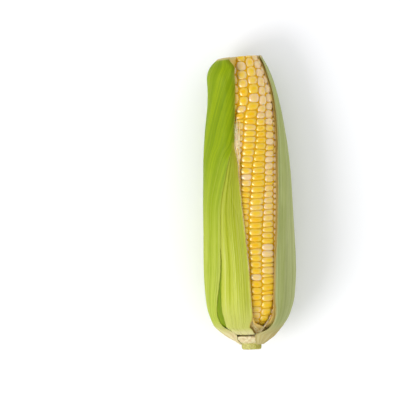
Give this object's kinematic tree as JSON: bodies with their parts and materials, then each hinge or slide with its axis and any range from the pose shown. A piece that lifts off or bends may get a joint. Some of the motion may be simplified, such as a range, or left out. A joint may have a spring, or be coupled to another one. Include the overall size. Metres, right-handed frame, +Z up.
{
  "type": "sweet corn cob in its husk",
  "caption": "Fresh corn cob lying in its husk, with the leaves opened over the kernels, the tip cut off flat and the shank cut short.",
  "frame": {"origin": "middle of the flat patch of husk that the cob lies on, 88 mm from the shank's cut end", "axes": "+Y along the cob from the shank to the cut tip, +Z up, through the opened side where the kernels show"},
  "size_m": [0.0598, 0.1909, 0.0591],
  "materials": {
    "kernels": "glossy, golden yellow to pale yellow kernels",
    "stalk": "matt, cream to yellow-green fibres",
    "husk_outer": "satin, green, with fine veins along it",
    "husk_front": "satin, yellow-green, with fine veins along it",
    "husk_middle": "satin, deep green",
    "husk_inner": "satin, cream"
  },
  "bodies": {
    "root": {"ear": "kernels", "shank": "stalk", "husk_outer_left": "husk_outer", "husk_outer_right": "husk_outer", "husk_front": "husk_front", "husk_middle_left": "husk_middle", "husk_middle_right": "husk_middle", "husk_inner_left": "husk_inner", "husk_inner_right": "husk_inner"}
  },
  "joints": []
}
